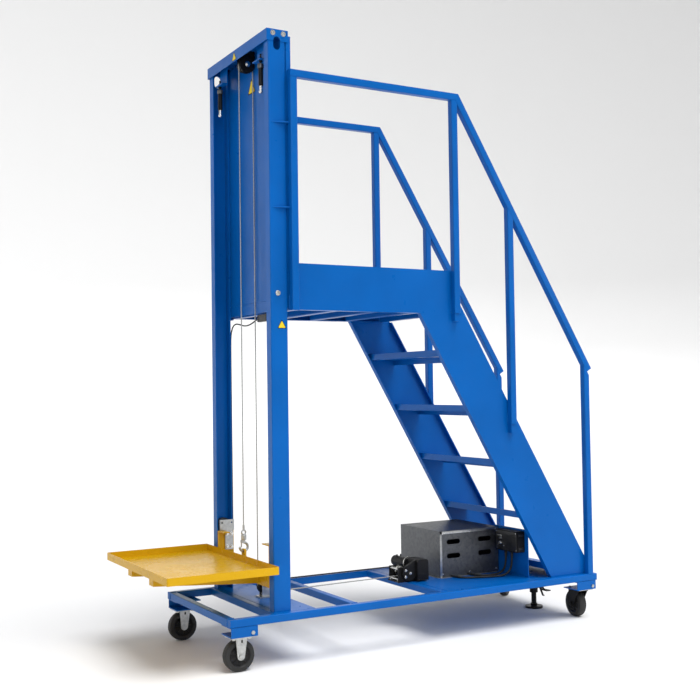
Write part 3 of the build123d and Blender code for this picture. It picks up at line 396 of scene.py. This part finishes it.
def power_leads():
    """Two leads from the glands of the control box over the deck into the side of the battery box."""
    wall = -61.5
    z = 260
    gland_x = 1822
    first = [(gland_x, -215, 378), (gland_x, -215, 330), (1806, -218, 286), (1768, -222, z + 4),
             (1712, -214, z), (1655, -196, z), (1600, -176, z), (1548, -154, z), (1512, -116, z),
             (1510, wall, z)]
    second = [(gland_x, -160, 378), (gland_x, -160, 330), (1808, -162, 286), (1774, -166, z + 5),
              (1722, -164, z), (1668, -146, z), (1628, -110, z), (1626, wall, z)]
    long_lead = cable("power_lead_long", first, 0.012)
    cable("power_lead_short", second, 0.012)
    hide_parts("cable_bundle")


def switch_lead():
    """The lead from the junction box under the mast panel, down the far column and along the far rail."""
    rail_z = 258.5
    route = [(356, -6, 1700), (356, 34, 1694), (355, 80, 1680), (353, 130, 1671), (352, 180, 1672),
             (351, 230, 1682), (350, 280, 1690), (350, 325, 1678), (350, 352, 1636), (350, 356, 1578),
             (350, 355, 1200), (351, 356, 800), (352, 357, 420), (356, 362, 340), (372, 380, 285),
             (410, 398, rail_z + 5), (470, 405, rail_z), (900, 406, rail_z), (1300, 405, rail_z),
             (1390, 402, rail_z)]
    cable("switch_lead", route, 0.007)
    low, high = world(345, -115, 1681), world(367, -6, 1719)
    bm = bmesh.new()
    shape = Matrix.Translation((low + high) / 2) @ Matrix.Diagonal((*(high - low), 1))
    bmesh.ops.create_cube(bm, size=1, matrix=shape)
    bmesh.ops.bevel(bm, geom=list(bm.edges), offset=0.003, segments=3, affect="EDGES", profile=0.5)
    box = piece("junction_box", mesh_from("junction_box", bm), PLASTIC, "base")
    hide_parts("control_cable")


def lifting_strand():
    """The rope between hook and top sheave, as a copy of the frame's strand fixed to the base."""
    node = "hoist_rope_front"
    mesh = NODES[node].data.copy()
    mesh.materials.clear()
    strand = piece("lifting_strand", mesh, ROPE, "base")
    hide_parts(node)
    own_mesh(strand)


# ---------------------------------------------------------------- labels

def triangle_label(name, at, normal, up, side):
    """A plain yellow triangle with a dark border and no sign on it."""
    normal, up = Vector(normal), Vector(up)
    across = up.cross(normal)
    height = side * 0.866
    for suffix, scale, lift, material in (("_edge", 1.0, 0.0003, LABEL_EDGE), ("_face", 0.80, 0.0006, LABEL)):
        bm = bmesh.new()
        corners = [(0, 2 * height / 3), (-side / 2, -height / 3), (side / 2, -height / 3)]
        outline = []
        for index, (u, v) in enumerate(corners):
            for neighbour in (corners[index - 1], corners[(index + 1) % 3]):
                toward = Vector(neighbour) - Vector((u, v))
                point = Vector((u, v)) + toward * 0.08
                outline.append(point * scale)
        front = [bm.verts.new(at + across * p.x + up * p.y + normal * lift) for p in outline]
        back = [bm.verts.new(at + across * p.x + up * p.y) for p in outline]
        bm.faces.new(front)
        bm.faces.new(list(reversed(back)))
        for index in range(len(front)):
            following = (index + 1) % len(front)
            bm.faces.new([back[index], back[following], front[following], front[index]])
        piece(name + suffix, mesh_from(name + suffix, bm), material, "base", smooth=False)


def labels():
    triangle_label("label_column", world(306, -381, 1642), (0, -1, 0), (0, 0, 1), 0.050)
    triangle_label("label_header", world(239, 16, 3068), (-1, 0, 0), (0, 0, 1), 0.054)
    triangle_label("label_panel", world(345, 32, 2922), (-1, 0, 0), (0, 0, 1), 0.098)


# ---------------------------------------------------------------- fasteners

def mast_bolts():
    spots = []
    for side in (-1, 1):
        for x in (273, 330):
            spots.append((world(x, side * 384, 3086), (0, side, 0)))
        spots.append((world(287, side * 381, 1801), (0, side, 0)))
    bolts("mast_bolts", spots, flats=0.017)
    pin = [(world(298, side * 26, 3031), (0, side, 0)) for side in (-1, 1)]
    bolts("sheave_axle_nuts", pin, flats=0.019)
    pin = [(world(376, side * 26, 316), (0, side, 0)) for side in (-1, 1)]
    bolts("low_pulley_axle_nuts", pin, flats=0.019)


def carriage_bolts():
    spots = []
    for side in (-1, 1):
        for x in (298, 324):
            for z in (484, 552):
                spots.append((world(x, side * 310, z), (0, -side, 0)))
    bolts("roller_plate_bolts", spots, body="carriage", flats=0.014)


def winch_bolts():
    spots = [(world(x, -74, z), (0, -1, 0)) for x, z in ((1196, 322), (1196, 286), (1226, 304))]
    foot_top = 262
    spots += [(world(x, y, foot_top), (0, 0, 1)) for x in (1168, 1326) for y in (-36, 40)]
    bolts("winch_bolts", spots, flats=0.010, height=0.005)


def battery_box_screws():
    low, high = [Vector(corner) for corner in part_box("battery_box")]
    bm = bmesh.new()
    dome = [(0.0002, 0), (0.0055, 0), (0.0052, 0.0012), (0.0038, 0.0026), (0.0002, 0.0032)]
    for x in (low.x + 0.018, (low.x + high.x) / 2, high.x - 0.018):
        for z in (low.z + 0.02, high.z - 0.014):
            lathe(bm, dome, Matrix.Translation((x, low.y, z)) @ turn_to((0, -1, 0)), 24)
    piece("battery_box_screws", mesh_from("battery_box_screws", bm), BRIGHT, "base")


def add_box(bm, low, high, soften=0.0008):
    """A cuboid with softened edges."""
    low, high = Vector(low), Vector(high)
    part = bmesh.new()
    shape = Matrix.Translation((low + high) / 2) @ Matrix.Diagonal((*(high - low), 1))
    bmesh.ops.create_cube(part, size=1, matrix=shape)
    bmesh.ops.bevel(part, geom=list(part.edges), offset=soften, segments=2, affect="EDGES", profile=0.5)
    mesh = bpy.data.meshes.new("part")
    part.to_mesh(mesh)
    part.free()
    bm.from_mesh(mesh)
    bpy.data.meshes.remove(mesh)


def battery_box_flanges():
    """Folded feet along the deck and raised seams at the corners and the lid."""
    low, high = [Vector(corner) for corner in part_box("battery_box")]
    bm = bmesh.new()
    foot = 0.016
    add_box(bm, (low.x, low.y - foot, low.z), (high.x - 0.02, low.y, low.z + 0.002))
    add_box(bm, (low.x - foot, low.y, low.z), (low.x, high.y, low.z + 0.002))
    seam = 0.0012
    add_box(bm, (low.x, low.y - seam, low.z + 0.002), (low.x + 0.014, low.y, high.z - 0.001), 0.0004)
    add_box(bm, (low.x, low.y - seam, high.z - 0.016), (high.x, low.y, high.z - 0.001), 0.0004)
    # The feet and seams are real folds, but they are drawn in bright zinc, paler than the box's sheet, as a
    # painted highlight where the folds catch the light.
    piece("battery_box_flanges", mesh_from("battery_box_flanges", bm), ZINC, "base")


def control_box_front():
    """Lid with ribs, two side straps, a plain rating plate, a knob, two studs and four screws."""
    low, high = [Vector(corner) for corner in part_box("control_box")]
    housing_height = 0.118      # without the glands below it
    low.z = high.z - housing_height
    bm = bmesh.new()
    front = low.x
    proud = 0.004
    add_box(bm, (front - proud, low.y + 0.006, low.z + 0.006), (front, high.y - 0.006, high.z - 0.006))
    for index in range(6):
        y = low.y + 0.020 + index * 0.010
        rib_low = (front - proud - 0.002, y, low.z + 0.020)
        add_box(bm, rib_low, (front - proud, y + 0.004, high.z - 0.020), 0.0006)
    side = low.y
    for z in (low.z + 0.022, high.z - 0.022):
        add_box(bm, (low.x + 0.008, side - 0.002, z - 0.006), (high.x - 0.008, side, z + 0.006), 0.0006)
    piece("control_box_lid", mesh_from("control_box_lid", bm), PLASTIC, "base")

    face = front - proud
    bm = bmesh.new()
    plate_low = (face - 0.0008, high.y - 0.060, high.z - 0.052)
    add_box(bm, plate_low, (face, high.y - 0.020, high.z - 0.030), 0.0003)
    knob = [(0.0002, 0), (0.010, 0), (0.010, 0.004), (0.0075, 0.006), (0.0070, 0.012), (0.0002, 0.012)]
    lathe(bm, knob, Matrix.Translation((face, high.y - 0.050, high.z - 0.075)) @ turn_to((-1, 0, 0)), 32)
    for y in (high.y - 0.024, high.y - 0.078):
        lathe(bm, [(0.0002, 0), (0.004, 0), (0.0035, 0.003), (0.0002, 0.004)],
              Matrix.Translation((face, y, low.z + 0.030)) @ turn_to((-1, 0, 0)), 24)
    for y in (low.y + 0.012, high.y - 0.012):
        for z in (low.z + 0.012, high.z - 0.012):
            lathe(bm, [(0.0002, 0), (0.0035, 0), (0.0030, 0.0014), (0.0002, 0.002)],
                  Matrix.Translation((face, y, z)) @ turn_to((-1, 0, 0)), 20)
    piece("control_box_fittings", mesh_from("control_box_fittings", bm), BRIGHT, "base")


def stop_caps():
    """Knurled grey collars on the tops of the two sprung stops."""
    bm = bmesh.new()
    collar = [(0.0052, 0.0), (0.0150, 0.0), (0.0156, 0.0015), (0.0156, 0.019), (0.0145, 0.0215),
              (0.0052, 0.0215)]
    for side in (-1, 1):
        lathe(bm, collar, Matrix.Translation(world(262, side * 262, 2939)), 40)
    piece("stop_caps", mesh_from("stop_caps", bm), GALVANISED, "base")


def header_back_flange():
    """The header's folded rear edge, which closes the gap above the back panel."""
    bm = bmesh.new()
    add_box(bm, world(345, -384, 3079), world(348, 384, 3101.5), 0.0004)
    piece("header_back_flange", mesh_from("header_back_flange", bm), BLUE, "base")


def winch_bright_work():
    """Plated sleeves on the two tie bars and the machined ring between gearbox and motor."""
    bm = bmesh.new()
    for z in (270, 326):
        sleeve = [(0.0051, -0.044), (0.0058, -0.044), (0.0058, 0.044), (0.0051, 0.044)]
        lathe(bm, sleeve, Matrix.Translation(world(1171, 2, z)) @ turn_to((0, 1, 0)), 32)
    low, high = [Vector(corner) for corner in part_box("winch_motor")]
    centre = (low + high) / 2
    radius = (high.z - low.z) / 2
    ring = [(radius - 0.004, 0.0), (radius + 0.0012, 0.0), (radius + 0.0012, 0.006), (radius - 0.004, 0.006)]
    lathe(bm, ring, Matrix.Translation((centre.x, low.y + 0.001, centre.z)) @ turn_to((0, 1, 0)), 64)
    piece("winch_bright_work", mesh_from("winch_bright_work", bm), BRIGHT, "base")


def strain_reliefs():
    """Tapered sleeves on the power leads where they leave their glands."""
    bm = bmesh.new()
    for y in (-215, -160):
        at = world(1822, y, 378)
        taper = [(0.0061, 0.0), (0.0085, 0.0), (0.0078, -0.010), (0.0066, -0.024), (0.0061, -0.024)]
        lathe(bm, taper, Matrix.Translation(at), 32)
    piece("strain_reliefs", mesh_from("strain_reliefs", bm), TYRE, "base")


# ---------------------------------------------------------------- welds

def base_welds():
    """Beads where the cross tubes meet the rails, and round the feet of the posts."""
    runs = []
    for x in (0, 236, 670, 1217, 2227):
        for side in (-1, 1):
            for edge in (x, x + 38):
                runs.append((world(edge, side * 387, 220), world(edge, side * 387, 250)))
            runs.append((world(x + 3, side * 387, 254), world(x + 35, side * 387, 254)))
    for side in (-1, 1):
        for x in (2203, 2241):
            runs.append((world(x, side * 422, 254), world(x, side * 390, 254)))
    weld_beads("base_welds", runs)


def rail_welds():
    """Beads where the handrail posts meet the top rail and the deck frame."""
    runs = []
    for side in (-1, 1):
        for x in (384, 1309):
            runs.append((world(x, side * 421, 2869), world(x, side * 391, 2869)))
        for x in (346, 384, 1309, 1347):
            runs.append((world(x, side * 387.5, 1726), world(x, side * 387.5, 1790)))
        for x in (1674, 1712):
            runs.append((world(x, side * 387.5, 1126), world(x, side * 387.5, 1180)))
    weld_beads("rail_welds", runs)


# ---------------------------------------------------------------- stage, light and camera

def studio_cove():
    """A round white floor that curves up into a wall."""
    profile = [(0.0, 0.0), (22.0, 0.0), (24.0, 0.3), (26.0, 1.2), (27.4, 2.6), (28.0, 4.6), (28.0, 15.0)]
    steps = 72
    vertices = []
    for radius, height in profile:
        for index in range(steps):
            angle = 2 * pi * index / steps
            vertices.append((radius * cos(angle), radius * sin(angle), height))
    faces = []
    for ring in range(len(profile) - 1):
        for index in range(steps):
            following = (index + 1) % steps
            low, high = ring * steps, (ring + 1) * steps
            faces.append((low + index, high + index, high + following, low + following))
    mesh = bpy.data.meshes.new("cove")
    mesh.from_pydata(vertices, [], faces)
    for polygon in mesh.polygons:
        polygon.use_smooth = True
    cove = bpy.data.objects.new("cove", mesh)
    bpy.context.scene.collection.objects.link(cove)
    material, _ = new_material("cove_white", (0.83, 0.83, 0.83), 0.8)
    mesh.materials.append(material)


def aim_lamp(lamp, at, toward):
    lamp.location = at
    lamp.rotation_euler = (Vector(toward) - Vector(at)).to_track_quat("-Z", "Y").to_euler()
    bpy.context.scene.collection.objects.link(lamp)


def light():
    """A wide soft sun from the front, even sky light, and two soft area lamps that add highlights."""
    scene = bpy.context.scene
    scene.view_settings.view_transform = "Standard"
    sky = bpy.data.worlds.new("studio")
    scene.world = sky
    sky.use_nodes = True
    sky.node_tree.nodes["Background"].inputs["Color"].default_value = (1.0, 1.0, 1.0, 1)
    sky.node_tree.nodes["Background"].inputs["Strength"].default_value = 0.36

    sun = bpy.data.lights.new("sun", "SUN")
    sun.energy = 2.95
    sun.angle = radians(38)
    aim_lamp(bpy.data.objects.new("sun", sun), (1.2, -4.0, 9.0), (0, 0, 0))
    for name, at, toward, size, power in (
        ("front_box", (-3.0, -6.0, 4.5), (0, 0, 1.4), 2.5, 70),
        ("side_box", (4.5, -3.0, 3.0), (0.5, 0, 1.2), 2.0, 30),
    ):
        box = bpy.data.lights.new(name, "AREA")
        box.energy = power
        box.size = size
        aim_lamp(bpy.data.objects.new(name, box), at, toward)


def camera():
    """The viewpoint: about 5 m off the near side and 2 m before the mast end, 1.3 m above the floor."""
    yaw, pitch, roll = radians(-29.59), radians(2.04), radians(-0.79)
    forward = Vector((-sin(yaw) * cos(pitch), cos(yaw) * cos(pitch), sin(pitch)))
    level = Vector((cos(yaw), sin(yaw), 0))
    upright = level.cross(forward)
    right = level * cos(roll) + upright * sin(roll)
    up = upright * cos(roll) - level * sin(roll)
    data = bpy.data.cameras.new("camera")
    data.sensor_width = 36
    data.lens = 54.56
    obj = bpy.data.objects.new("camera", data)
    axes = Matrix((right, up, -forward)).transposed()
    obj.matrix_world = Matrix.Translation(world(-1964.2, -5049.9, 1332.7)) @ axes.to_4x4()
    bpy.context.scene.collection.objects.link(obj)
    bpy.context.scene.camera = obj


# ---------------------------------------------------------------- build

camera()
power_leads()
switch_lead()
dress_cad_nodes()
for wheel_node in ("rigid_wheel_near", "rigid_wheel_far", "swivel_wheel_near", "swivel_wheel_far"):
    caster_wheel(wheel_node)
lifting_strand()
labels()
mast_bolts()
carriage_bolts()
winch_bolts()
battery_box_screws()
battery_box_flanges()
control_box_front()
stop_caps()
strain_reliefs()
header_back_flange()
winch_bright_work()
base_welds()
rail_welds()
studio_cove()
light()
